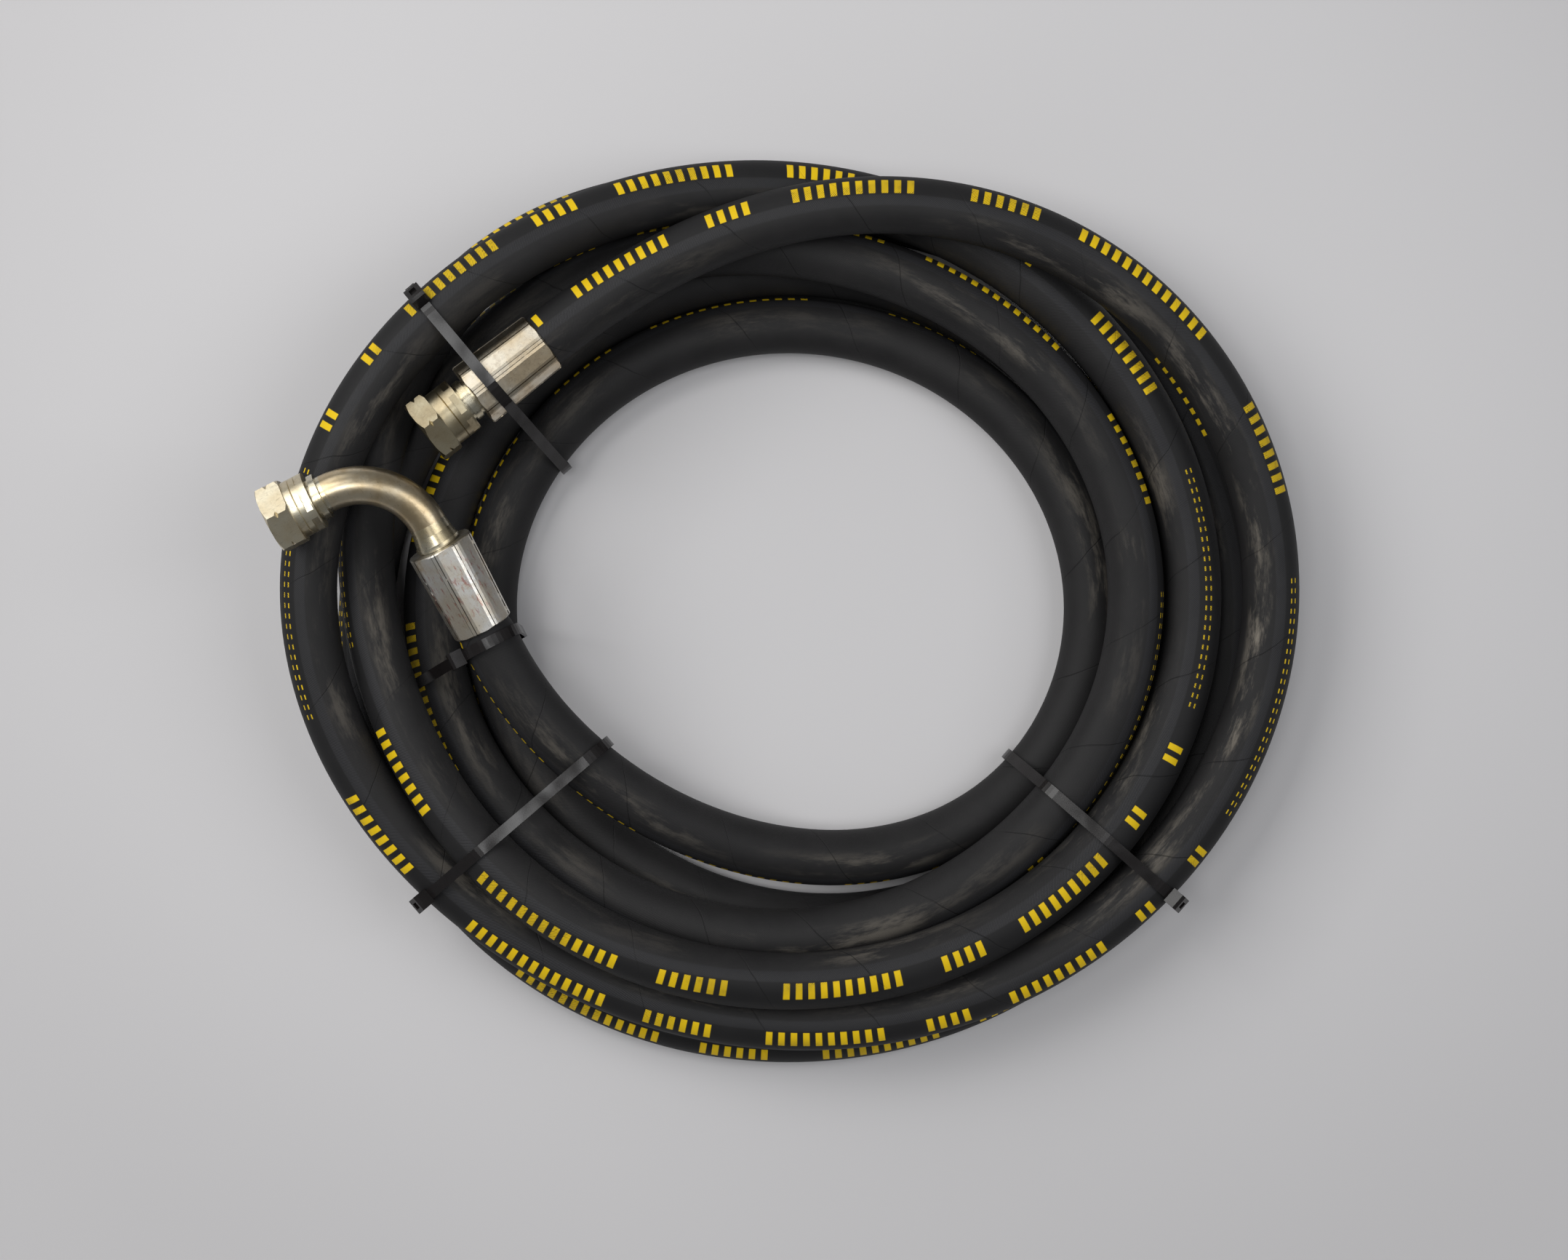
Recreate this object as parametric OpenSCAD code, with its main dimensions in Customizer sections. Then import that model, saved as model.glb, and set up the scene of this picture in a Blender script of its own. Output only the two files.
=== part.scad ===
// Coiled hydraulic hose assembly: a wire-reinforced rubber hose with a straight swivel fitting at
// one end and a 90 degree swept swivel fitting at the other, held in a coil by four cable ties.
// Units are millimetres, +Z is up, the coil lies on z = 0.

/* [Hose] */
// outside diameter of the hose
hose_od = 24.2; // [22:0.1:24.6]
// outside diameter of the hose where a ferrule squeezes it
hose_crimped_od = 23.2; // [21.5:0.1:23.4]
// outside diameter of the wire-reinforced core, across its corners
core_od = 16; // [15.6:0.1:16.4]
// clear bore of the hose, across its flats
hose_bore = 12; // [11.8:0.1:12.6]

/* [Ferrules] */
// length of the straight fitting's ferrule
straight_ferrule_length = 37.4; // [34:0.2:42]
// length of the elbow fitting's ferrule
elbow_ferrule_length = 39.2; // [36:0.2:44]
// ferrule diameter at the fitting end
ferrule_od = 29; // [28:0.2:31]
// ferrule diameter at the hose end
ferrule_mouth_od = 27; // [26.6:0.1:28]
// width across a pair of crimp flats at the fitting end
crimp_flats = 27.6; // [26.8:0.1:28.6]
// height of the narrow ridges the crimping dies leave
ridge_height = 0.3; // [0.1:0.05:0.5]

/* [Swivel nuts] */
// width across the flats of the nuts
nut_flats = 27; // [26:0.5:30]
// hexagon length of the straight fitting's nut
straight_hex_length = 9.2; // [9:0.1:12]
// hexagon length of the elbow fitting's nut
elbow_hex_length = 10.8; // [9:0.1:12]
// length of the round skirt behind the straight nut's hexagon
straight_skirt_length = 11.4; // [10.5:0.1:14]
// length of the round skirt behind the elbow nut's hexagon
elbow_skirt_length = 9.6; // [9.4:0.1:12]
// outside diameter of the skirts
skirt_od = 25; // [24:0.2:26]
// bore at the thread crests of the nuts (G 1/2)
thread_bore = 18.63; // [18:0.01:19]

/* [Elbow] */
// outside diameter of the bent tube
elbow_tube_od = 16; // [15:0.5:18]
// bend radius of the tube's centre line
elbow_bend_radius = 31; // [27:0.5:32]
// clear bore of both fittings
fitting_bore = 7.8; // [6:0.1:8.6]

/* [Cable ties] */
// width of a tie strap
strap_width = 4.8; // [3.6:0.1:7]
// thickness of a tie strap
strap_thickness = 1.1; // [1:0.05:1.2]
// length of a tie head along the strap
head_length = 8; // [7:0.5:10]
// width of a tie head across the strap
head_width = 7; // [6.4:0.1:9]
// height of a tie head off the strap
head_height = 6; // [5:0.5:7]

/* [Clearances] */
// radial room between a ferrule and the squeezed hose
ferrule_hose_clearance = 0.3; // [0.2:0.05:0.5]
// room between a stem and the ferrule collar it carries
stem_collar_clearance = 0.2; // [0.15:0.05:0.3]
// radial running clearance of the swivel nuts on their stems
swivel_clearance = 0.1; // [0.06:0.01:0.12]
// room between the cover and the core of the hose
layer_clearance = 0.3; // [0.25:0.05:0.35]
// room between a strap and what it holds
strap_clearance = 0.5; // [0.4:0.05:0.9]

/* [Hidden] */

curve_fn = 72;
fine_fn = 48;
cut = 0.5;

rubber = [0.13, 0.13, 0.14];
braid_grey = [0.45, 0.46, 0.48];
zinc_gold = [0.78, 0.71, 0.46];
zinc_silver = [0.72, 0.71, 0.68];
nylon_black = [0.07, 0.07, 0.08];

// The coil is wound clockwise seen from above, starting at the straight fitting, about the
// centre of its own opening. Each pair is [radius, height] of a guide point; the guide points
// stand 45 degrees apart, eight to a turn, and the hose follows a smooth cubic curve past them.
coil_centre = [4, 9.5];
start_angle = 135;
guide_step = 45;
lead_in = [[183, 78]];
turn_1 = [[140.5, 52], [156.5, 62], [193, 60.5], [213, 28.5], [194, 38.5], [182.5, 35.5],
    [188, 31.5], [215.5, 59]];
turn_2 = [[184.5, 72], [172, 29.5], [167.5, 40], [176.5, 22], [169.5, 44.5], [163.5, 55.5],
    [170, 58.5], [180, 39.5]];
turn_3 = [[202.5, 41], [162.5, 6], [181.5, 13.5], [194, 9.5], [195.5, 10.5], [192.5, 9.5],
    [198, 11.5], [188, 8]];
turn_4 = [[169.5, 25.5], [143.5, 39], [143, 35], [150.5, 34], [144.5, 33.5], [148, 36.5],
    [153.5, 32.5], [162, 12]];
turn_5 = [[146, 9.5], [141.5, 10.5], [145, 10], [159.5, 10], [157, 10], [142, 10],
    [134, 10.5], [135.5, 9]];
turn_6 = [[122, 17], [115.5, 11.5], [120.5, 8.5], [133, 15.5], [133, 5.5], [110.5, 26.5],
    [108.5, 46.5], [133.5, 67], [167, 115]];
guides = concat(lead_in, turn_1, turn_2, turn_3, turn_4, turn_5, turn_6);

// angles wound from the straight fitting: where the coil ends, and the rings between
end_trim = 12;
coil_end = (len(guides) - 3) * guide_step - end_trim;
ring_step = 15;
first_ring = 7.5;
last_ring = first_ring + ring_step * floor((coil_end - first_ring) / ring_step);
elbow_lead = 14;
neck_length = 4;
mouth_gap = 0.5;
end_plate = 3.8;
plate_room = 0.2;
inner_flange_length = 0.9;
hose_end_room = 0.5;
cover_sides = 8;
core_sides = 6;
ground = 0;
tie_ground = strap_thickness + 0.25;
ring_reach = 14;

function blend(t) = [pow(1 - t, 3) / 6, (3 * pow(t, 3) - 6 * t * t + 4) / 6,
    (-3 * pow(t, 3) + 3 * t * t + 3 * t + 1) / 6, pow(t, 3) / 6];
function on_guides(a, i, w) = w[0] * guides[i] + w[1] * guides[i + 1] + w[2] * guides[i + 2]
    + w[3] * guides[i + 3];
function guide_at(a) = on_guides(a, floor(a / guide_step),
    blend(a / guide_step - floor(a / guide_step)));
function turned(a, rz) = [rz[0] * cos(start_angle - a) + coil_centre[0],
    rz[0] * sin(start_angle - a) + coil_centre[1], rz[1]];
function route(a) = turned(a, guide_at(a));
function unit(v) = v / norm(v);
function heading(a) = unit(route(a + 0.5) - route(a - 0.5));
function azimuth(d) = atan2(d[1], d[0]);
function elevation(d) = asin(d[2]);

// straight fitting: its axis points from the hose to the nut
straight_axis = -unit(route(0.5) - route(0));
straight_mouth = route(0);
// elbow fitting: the same, with the outlet turned level and square to it
elbow_axis = unit(route(coil_end) - route(coil_end - 0.5));
elbow_mouth = route(coil_end) + elbow_lead * elbow_axis;
elbow_corner_run = 80.2;
elbow_corner = elbow_mouth + elbow_corner_run * elbow_axis;
outlet_axis = [-sin(azimuth(elbow_axis)), cos(azimuth(elbow_axis)), 0];

// how far the hose reaches into a ferrule, up to the flange of the stem inside it
function hose_seat(ferrule_length) = ferrule_length - end_plate - plate_room
    - inner_flange_length - hose_end_room;

// centres and headings of the hose's rings: squeezed end, neck, coil, neck, squeezed end
coil_angles = concat([for (a = [first_ring : ring_step : last_ring]) a]);
start_straight = [for (s = [hose_seat(straight_ferrule_length), -mouth_gap])
    straight_mouth + s * straight_axis];
neck_start = straight_mouth - neck_length * straight_axis;
end_straight = [for (s = [-mouth_gap, hose_seat(elbow_ferrule_length)])
    elbow_mouth + s * elbow_axis];
neck_end = elbow_mouth - neck_length * elbow_axis;
ring_centres = concat(start_straight, [neck_start], [for (a = coil_angles) route(a)],
    [route(coil_end)], [neck_end], end_straight);
ring_headings = concat([for (i = [1 : 3]) -straight_axis], [for (a = coil_angles) heading(a)],
    [for (i = [1 : 4]) elbow_axis]);
ring_angles = concat([0, 0, 0], coil_angles, [coil_end, coil_end, coil_end, coil_end]);
ring_count = len(ring_centres);
ring_squeezed = [for (i = [0 : ring_count - 1]) i < 2 || i > ring_count - 3];

// the three ties round the whole coil: [angle, radius] of the outer and of the inner end
tie_upper_left_ends = [[141.5, 206], [151.5, 112]];
tie_lower_left_ends = [[219.8, 206], [219, 99]];
tie_lower_right_ends = [[321.3, 206], [323.3, 114]];
// the fourth holds the elbow end of the hose down to the strands beneath it
tie_elbow_setback = 8;
tie_elbow_slack = 0.9;
tie_angles = [147, 219.5, 322, 190];

function circular_gap(p, q) = abs((p - q) - 360 * round((p - q) / 360));
function near_tie(a) = min([for (t = tie_angles) circular_gap(start_angle - a, t)]) < ring_reach;
ring_ground = [for (a = ring_angles) near_tie(a) ? tie_ground : ground];
function lifted(p, floor_z) = [p[0], p[1], max(p[2], floor_z)];
function sideways(d) = unit(cross(d, [0, 0, 1]));
function corner_shift(sides) = sides % 4 == 0 ? 0.5 : 0;
function ring_points(c, d, r, sides, floor_z) = [for (k = [0 : sides - 1])
    lifted(c + r * cos((k + corner_shift(sides)) * 360 / sides) * sideways(d)
        + r * sin((k + corner_shift(sides)) * 360 / sides)
            * cross(sideways(d), d), floor_z)];
function tube_points(radii, sides, floors) = [for (i = [0 : ring_count - 1])
    each ring_points(ring_centres[i], ring_headings[i], radii[i], sides, floors[i])];

// triangles of a tube skin between neighbouring rings; "first" is the index of its first point
function skin(first, sides, flip) = [for (i = [0 : ring_count - 2]) for (k = [0 : sides - 1])
    each skin_pair(first + i * sides, first + (i + 1) * sides, k, (k + 1) % sides, flip)];
function skin_pair(a, b, k, n, flip) = flip
    ? [[a + k, b + k, a + n], [a + n, b + k, b + n]]
    : [[a + k, a + n, b + k], [a + n, b + n, b + k]];
// flat ring of triangles closing the wall of a tube between its outer and inner skins
function end_face(outer, inner, sides, flip) = [for (k = [0 : sides - 1])
    each end_pair(outer, inner, k, (k + 1) % sides, flip)];
function end_pair(o, i, k, n, flip) = flip
    ? [[o + k, i + n, o + n], [o + k, i + k, i + n]]
    : [[o + k, o + n, i + n], [o + k, i + n, i + k]];

// one unbroken hollow tube through every ring
module hose_tube(outer_radii, inner_radii, sides, floors) {
    outer = tube_points(outer_radii, sides, floors);
    inner = tube_points(inner_radii, sides, [for (f = floors) 0]);
    half = len(outer);
    last = (ring_count - 1) * sides;
    polyhedron(points = concat(outer, inner),
        faces = concat(skin(0, sides, false), skin(half, sides, true),
            end_face(0, half, sides, true), end_face(last, half + last, sides, false)));
}

// hose layers: radii at the corners of their many-sided sections
cover_radii = [for (q = ring_squeezed) (q ? hose_crimped_od : hose_od) / 2];
cover_inner = (core_od / 2 + layer_clearance) / cos(180 / cover_sides);
bore_corner = hose_bore / 2 / cos(180 / core_sides);
all_ground = [for (i = [0 : ring_count - 1]) 0];

module hose_cover() {
    color(rubber) hose_tube(cover_radii, [for (q = cover_radii) cover_inner], cover_sides,
        ring_ground);
}

module hose_core() {
    color(braid_grey) hose_tube([for (q = cover_radii) core_od / 2],
        [for (q = cover_radii) bore_corner], core_sides, all_ground);
}

// straight run of hose between rings, halved, for measuring how near the coil comes to itself
run_points = [for (i = [0 : ring_count - 2]) each [ring_centres[i],
    (ring_centres[i] + ring_centres[i + 1]) / 2]];
run_apart = 12;
least_gap = min([for (i = [0 : len(run_points) - 1]) for (j = [i + run_apart : 1 :
    len(run_points) - 1]) norm(run_points[i] - run_points[j])]) - hose_od;
echo(least_gap_to_itself = least_gap);
echo(hose_length = sum_lengths(ring_centres, 0, 0));
function sum_lengths(p, i, total) = i >= len(p) - 1 ? total
    : sum_lengths(p, i + 1, total + norm(p[i + 1] - p[i]));

// places a piece drawn along +Z so that it starts at p and runs along d
module along(p, d) {
    translate(p) rotate([0, 90 - elevation(d), azimuth(d)]) children();
}

// ferrules
ferrule_bore = hose_crimped_od / 2 + ferrule_hose_clearance;
neck_radius = 8.1;
collar_hole = neck_radius + stem_collar_clearance;
crimp_sides = 8;
ridge_width = 1.5;
straight_crimp_turn = 18.5;
elbow_crimp_turn = 8;
ferrule_edge = 0.6;

// half section of a ferrule's outside, taken in by "less" from its full size
function ferrule_section(length, less) = let (r1 = ferrule_mouth_od / 2 - less,
    r2 = ferrule_od / 2 - less, edge = ferrule_edge)
    [[0, 0], [r1 - edge, 0], [r1, edge], [r2, length - edge], [r2 - edge, length], [0, length]];

// flats pressed by eight dies, with a narrow ridge left between each pair
module ferrule(length, turned_by) {
    across = 1 / cos(180 / crimp_sides);
    mouth_flats = crimp_flats * ferrule_mouth_od / ferrule_od;
    difference() {
        rotate([0, 0, turned_by]) {
            intersection() {
                rotate_extrude($fn = curve_fn)
                    polygon(ferrule_section(length, ridge_height));
                rotate([0, 0, 180 / crimp_sides]) cylinder(h = length,
                    r1 = mouth_flats / 2 * across, r2 = crimp_flats / 2 * across,
                    $fn = crimp_sides);
            }
            intersection() {
                rotate_extrude($fn = curve_fn) polygon(ferrule_section(length, 0));
                for (k = [0 : crimp_sides / 2 - 1])
                    rotate([0, 0, (k + 0.5) * 360 / crimp_sides])
                        translate([-ferrule_od, -ridge_width / 2, 0])
                            cube([2 * ferrule_od, ridge_width, length]);
            }
        }
        translate([0, 0, -cut]) cylinder(h = length - end_plate + cut, r = ferrule_bore,
            $fn = curve_fn);
        translate([0, 0, -cut]) cylinder(h = length + 2 * cut, r = collar_hole, $fn = curve_fn);
    }
}

module straight_ferrule() {
    color(zinc_gold) along(straight_mouth, straight_axis) ferrule(straight_ferrule_length,
        straight_crimp_turn);
}

module elbow_ferrule() {
    color(zinc_silver) along(elbow_mouth, elbow_axis) ferrule(elbow_ferrule_length,
        elbow_crimp_turn);
}

// stems: a barbed tail inside the hose, a neck the ferrule locks on, a collar, and a coned nose
tail_start = 3;
tail_radius = hose_bore / 2 - 0.3;
barb_depth = 0.5;
barb_pitch = 5.5;
barb_count = 5;
bore_radius = fitting_bore / 2;
inner_flange_radius = 9.6;
collar_radius = 9.5;
collar_groove_radius = 8.7;
collar_ring_length = 2.9;
collar_groove_length = 1.2;
swivel_neck_radius = 8.4;
nut_flange_radius = 10.4;
nut_flange_length = 2;
nose_radius = 8.8;
nose_tip_radius = 6;
nose_length = 4.6;
nose_land = 0.8;
lip_thickness = 2.2;
lip_room = 0.15;
collar_room = 0.1;

// half section of the tail, neck and flange that sit inside a ferrule, up to its outer face
function tail_section(length) = let (plate = length - end_plate) concat(
    [[bore_radius, tail_start], [tail_radius - barb_depth, tail_start]],
    [for (b = [0 : barb_count - 1]) each [
        [tail_radius, tail_start + 1.2 + b * barb_pitch],
        [tail_radius, tail_start + 2.4 + b * barb_pitch],
        [tail_radius - barb_depth, tail_start + 3 + b * barb_pitch]]],
    [[tail_radius - barb_depth, plate - inner_flange_length - plate_room],
    [inner_flange_radius, plate - inner_flange_length - plate_room],
    [inner_flange_radius, plate - plate_room], [neck_radius, plate - plate_room],
    [neck_radius, length + collar_room]]);

// half section of the swivel end: the neck the nut's lip runs on, the flange that keeps the
// nut, and the 60 degree sealing cone; "z" is where the nut's skirt begins
function swivel_section(z) = let (flange = z + lip_thickness + lip_room)
    [[swivel_neck_radius, z - collar_room], [swivel_neck_radius, flange],
    [nut_flange_radius, flange], [nut_flange_radius, flange + nut_flange_length],
    [nose_radius, flange + nut_flange_length],
    [nose_radius, flange + nut_flange_length + nose_land],
    [nose_tip_radius, flange + nut_flange_length + nose_length],
    [bore_radius, flange + nut_flange_length + nose_length]];

straight_nut_start = straight_ferrule_length + collar_room + collar_ring_length
    + 2 * collar_groove_length;
straight_nut_length = straight_skirt_length + straight_hex_length;

module straight_stem() {
    top = straight_ferrule_length + collar_room;
    ring = top + collar_groove_length;
    color(zinc_gold) along(straight_mouth, straight_axis) rotate_extrude($fn = curve_fn)
        polygon(concat(tail_section(straight_ferrule_length),
            [[collar_groove_radius, top], [collar_groove_radius, ring],
            [collar_radius, ring], [collar_radius, ring + collar_ring_length],
            [collar_groove_radius, ring + collar_ring_length],
            [collar_groove_radius, straight_nut_start - collar_room]],
            swivel_section(straight_nut_start)));
}

// swivel nuts, drawn from the skirt end at z = 0 to the open face
crimp_marks = 6;
crimp_mark_depth = 0.85;
crimp_mark_start = 0.7;
crimp_mark_length = 2.9;
groove_at = 6.2;
groove_depth = 0.3;
notch_depth = 0.9;
notch_width = 2;
chamfer_height = 2.4;
cavity_radius = nut_flange_radius + 0.4;

module nut(skirt, hexagon) {
    length = skirt + hexagon;
    corner = nut_flats / 2 / cos(30);
    difference() {
        union() {
            cylinder(h = skirt + 0.5, r = skirt_od / 2, $fn = curve_fn);
            intersection() {
                translate([0, 0, skirt]) cylinder(h = hexagon, r = corner, $fn = 6);
                rotate_extrude($fn = curve_fn) polygon([[0, skirt],
                    [corner - 1.2, skirt], [corner + 0.1, skirt + 1.2],
                    [corner + 0.1, length - chamfer_height / 2],
                    [corner - 1.9, length], [0, length]]);
            }
        }
        // lip, cavity and thread bore
        translate([0, 0, -cut]) cylinder(h = skirt, r = swivel_neck_radius + swivel_clearance,
            $fn = curve_fn);
        translate([0, 0, lip_thickness]) cylinder(h = skirt - lip_thickness, r = cavity_radius,
            $fn = curve_fn);
        translate([0, 0, skirt - cut]) cylinder(h = hexagon + 2 * cut, r = thread_bore / 2,
            $fn = curve_fn);
        translate([0, 0, length - 1.3]) cylinder(h = 1.6, r1 = thread_bore / 2,
            r2 = thread_bore / 2 + 1.7, $fn = curve_fn);
        // marks where the skirt was pressed in, and the groove round it
        for (m = [0 : crimp_marks - 1]) rotate([0, 0, m * 360 / crimp_marks])
            translate([skirt_od / 2 - crimp_mark_depth, -skirt_od / 4, crimp_mark_start])
                cube([skirt_od / 4, skirt_od / 2, crimp_mark_length]);
        rotate_extrude($fn = curve_fn) polygon([[skirt_od / 2 - groove_depth, groove_at],
            [skirt_od / 2 + groove_depth, groove_at - 2 * groove_depth],
            [skirt_od / 2 + groove_depth, groove_at + 2 * groove_depth]]);
        // notches across the corners of the hexagon
        for (m = [0 : 5]) rotate([0, 0, m * 60]) translate([corner - notch_depth, 0,
            skirt + hexagon / 2]) rotate([90, 0, 0]) linear_extrude(height = nut_flats / 2, center = true)
            polygon([[0, 0], [notch_depth, -notch_width / 2], [2 * notch_depth, -notch_width],
                [2 * notch_depth, notch_width], [notch_depth, notch_width / 2]]);
    }
}

module straight_nut() {
    color(zinc_gold) along(straight_mouth + straight_nut_start * straight_axis, straight_axis)
        nut(straight_skirt_length, straight_hex_length);
}

// elbow: an insert with its tail and flared base, a bent tube brazed to it, and a swivel end
base_collar_radius = 9.25;
base_lip_length = 1.3;
base_lip_step = 0.35;
base_neck_length = 0.9;
base_flare_length = 8.5;
tube_radius = elbow_tube_od / 2;
outlet_ring_start = 32.8;
outlet_ring_length = 2.7;
outlet_groove_length = 1.2;
outlet_ring_radius = 10;
elbow_nut_start = outlet_ring_start + outlet_ring_length + outlet_groove_length + collar_room;
elbow_nut_length = elbow_skirt_length + elbow_hex_length;
turn_in = elbow_corner_run - elbow_bend_radius;

module elbow_insert() {
    top = elbow_ferrule_length + collar_room;
    lip = top + base_neck_length;
    color(zinc_silver) along(elbow_mouth, elbow_axis) rotate_extrude($fn = curve_fn)
        polygon(concat(tail_section(elbow_ferrule_length),
            [[collar_groove_radius, top], [collar_groove_radius, lip],
            [base_collar_radius + base_lip_step, lip],
            [base_collar_radius + base_lip_step, lip + base_lip_length],
            [base_collar_radius, lip + base_lip_length],
            [tube_radius + 0.4, lip + base_lip_length + 0.5 * base_flare_length],
            [tube_radius, lip + base_lip_length + base_flare_length],
            [tube_radius, turn_in], [bore_radius, turn_in]]));
}

module elbow_tube() {
    color(zinc_silver) elbow_frame() rotate_extrude(angle = 90, $fn = curve_fn)
        translate([elbow_bend_radius, 0]) bend_section();
}

module elbow_swivel_end() {
    color(zinc_silver) along(elbow_corner, outlet_axis) rotate_extrude($fn = curve_fn)
        polygon(concat([[bore_radius, elbow_bend_radius],
            [tube_radius, elbow_bend_radius], [tube_radius, outlet_ring_start],
            [outlet_ring_radius, outlet_ring_start],
            [outlet_ring_radius, outlet_ring_start + outlet_ring_length],
            [collar_groove_radius, outlet_ring_start + outlet_ring_length],
            [collar_groove_radius, elbow_nut_start - collar_room]],
            swivel_section(elbow_nut_start)));
}

module bend_section() {
    difference() {
        circle(r = tube_radius, $fn = fine_fn);
        circle(r = bore_radius, $fn = fine_fn);
    }
}

// frame whose z axis is the bend's own axis, with the bend starting on its x axis
module elbow_frame() {
    bend_centre = elbow_corner + elbow_bend_radius * (outlet_axis - elbow_axis);
    x = -outlet_axis;
    y = elbow_axis;
    z = cross(x, y);
    multmatrix([[x[0], y[0], z[0], bend_centre[0]], [x[1], y[1], z[1], bend_centre[1]],
        [x[2], y[2], z[2], bend_centre[2]], [0, 0, 0, 1]]) children();
}

module elbow_nut() {
    color(zinc_silver) along(elbow_corner + elbow_nut_start * outlet_axis, outlet_axis)
        nut(elbow_skirt_length, elbow_hex_length);
}

// cable ties
function flat_point(ar) = [ar[1] * cos(ar[0]) + coil_centre[0],
    ar[1] * sin(ar[0]) + coil_centre[1]];
function flat_unit(v) = v / norm(v);
function across(v) = [-v[1], v[0]];
// point of the wound hose at angle a, on the straight between its neighbouring rings
function ring_below(a) = first_ring + ring_step * floor((a - first_ring) / ring_step);
function wound(a) = let (b = ring_below(a), f = (a - b) / ring_step)
    route(b) * (1 - f) + route(b + ring_step) * f;
// angle at which a turn crosses the upright plane through "base" along u, found step by step
crossing_steps = 6;
function crossing(base, u, a, steps) = let (p = wound(a),
    off = (p[0] - base[0]) * across(u)[0] + (p[1] - base[1]) * across(u)[1],
    arm = norm([p[0] - coil_centre[0], p[1] - coil_centre[1]]))
    steps == 0 ? a : crossing(base, u, a + sign_of_turn(u, p) * off / arm * 180 / PI, steps - 1);
function sign_of_turn(u, p) = (u[0] * (p[0] - coil_centre[0]) + u[1] * (p[1] - coil_centre[1]))
    > 0 ? 1 : -1;
// section of one turn in a plane: [distance along u, height]
function section_at(base, u, a) = let (p = wound(crossing(base, u, a, crossing_steps)))
    [(p[0] - base[0]) * u[0] + (p[1] - base[1]) * u[1], p[2]];
function both_faces(base, u, a) = [for (side = [-1, 1])
    section_at(base + side * strap_width / 2 * across(u), u, a)];

tie_fn = 40;
head_chamfer = 1.2;
tail_stub = 2.6;
window_size = 3;
beyond = 2 * lead_in[0][0];
upper_left_lean = 56;
lower_left_lean = 34;
lower_right_lean = 30;
elbow_lean = 12;

// outline round a list of [distance, height, radius] rounds, grown by "more", kept above "low"
module band_outline(rounds, more, low) {
    intersection() {
        hull() for (c = rounds) translate([c[0], c[1]]) circle(r = c[2] + more, $fn = tie_fn);
        translate([-beyond, low]) square([2 * beyond, beyond]);
    }
}

// head block in the band's own plane: x outward from the strap, y along it
module head_outline() {
    polygon([[-0.3, -head_length / 2], [head_height - head_chamfer, -head_length / 2],
        [head_height, -head_length / 2 + head_chamfer],
        [head_height, head_length / 2 - head_chamfer],
        [head_height - head_chamfer, head_length / 2], [-0.3, head_length / 2]]);
}

module tie(base, u, rounds, seat, lean) {
    held = strap_clearance;
    reach = seat[2] + held + strap_thickness;
    translate([base[0], base[1], 0]) rotate([90, 0, azimuth(u)]) {
        linear_extrude(height = strap_width, center = true) difference() {
            band_outline(rounds, held + strap_thickness, 0);
            band_outline(rounds, held, strap_thickness);
        }
        translate([seat[0], seat[1], 0]) rotate([0, 0, lean]) translate([reach, 0, 0])
            difference() {
                linear_extrude(height = head_width, center = true) head_outline();
                translate([head_height - 1.6, -window_size / 2, -window_size / 2])
                    cube([3, window_size, window_size]);
                translate([1.4, -head_length, -strap_width / 2])
                    cube([strap_thickness + 0.2, head_length + 2.4, strap_width]);
            }
        translate([seat[0], seat[1], 0]) rotate([0, 0, lean]) translate([reach + 1.5, 0, 0])
            translate([0, -head_length / 2 - tail_stub, -strap_width / 2 + 0.1])
                cube([strap_thickness, tail_stub + head_length / 2 + 2.5, strap_width - 0.2]);
    }
}

function rounds_of(base, u, angle, turns, slack = 0) = [for (k = turns)
    for (q = both_faces(base, u, start_angle - angle + 360 * k))
        [q[0], q[1], hose_od / 2 + slack]];

module coil_tie(ends, angle, turns, extra, seat_turn, lean) {
    base = flat_point(ends[1]);
    u = flat_unit(flat_point(ends[0]) - base);
    seat_at = section_at(base, u, start_angle - angle + 360 * seat_turn);
    tie(base, u, concat(rounds_of(base, u, angle, turns), extra),
        [seat_at[0], seat_at[1], hose_od / 2], lean);
}

module tie_upper_left() {
    base = flat_point(tie_upper_left_ends[1]);
    u = flat_unit(flat_point(tie_upper_left_ends[0]) - base);
    axis = flat_unit([straight_axis[0], straight_axis[1]]);
    offset_to = [base[0] - straight_mouth[0], base[1] - straight_mouth[1]];
    run = (offset_to * across(u)) / (axis * across(u));
    on_axis = [straight_mouth[0], straight_mouth[1]] + run * axis;
    ferrule_round = [(on_axis - base) * u, straight_mouth[2] + run * straight_axis[2],
        ferrule_od / 2];
    color(nylon_black) coil_tie(tie_upper_left_ends, tie_angles[0], [1 : 5], [ferrule_round],
        1, upper_left_lean);
}

module tie_lower_left() {
    color(nylon_black) coil_tie(tie_lower_left_ends, tie_angles[1], [1 : 6], [], 1,
        lower_left_lean);
}

module tie_lower_right() {
    color(nylon_black) coil_tie(tie_lower_right_ends, tie_angles[2], [1 : 6], [], 1,
        lower_right_lean);
}

module tie_elbow() {
    hold = elbow_mouth - tie_elbow_setback * elbow_axis;
    base = [hold[0], hold[1]];
    u = [outlet_axis[0], outlet_axis[1]];
    rise = strap_width / 2 * elbow_axis[2];
    end_rounds = [for (side = [-1, 1]) [0, hold[2] + side * rise, hose_od / 2]];
    color(nylon_black) tie(base, u, concat(rounds_of(base, u, tie_angles[3], [4 : 5],
        tie_elbow_slack), end_rounds), [0, hold[2], hose_od / 2], elbow_lean);
}

hose_cover();
hose_core();
straight_ferrule();
straight_stem();
straight_nut();
elbow_ferrule();
elbow_insert();
elbow_tube();
elbow_swivel_end();
elbow_nut();
tie_upper_left();
tie_lower_left();
tie_lower_right();
tie_elbow();
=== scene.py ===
"""Dresses the coiled hydraulic hose assembly: the round hose with its cloth-wrap texture, plated
fittings, nylon ties, and a pale studio floor, seen from straight above."""

import math

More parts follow.
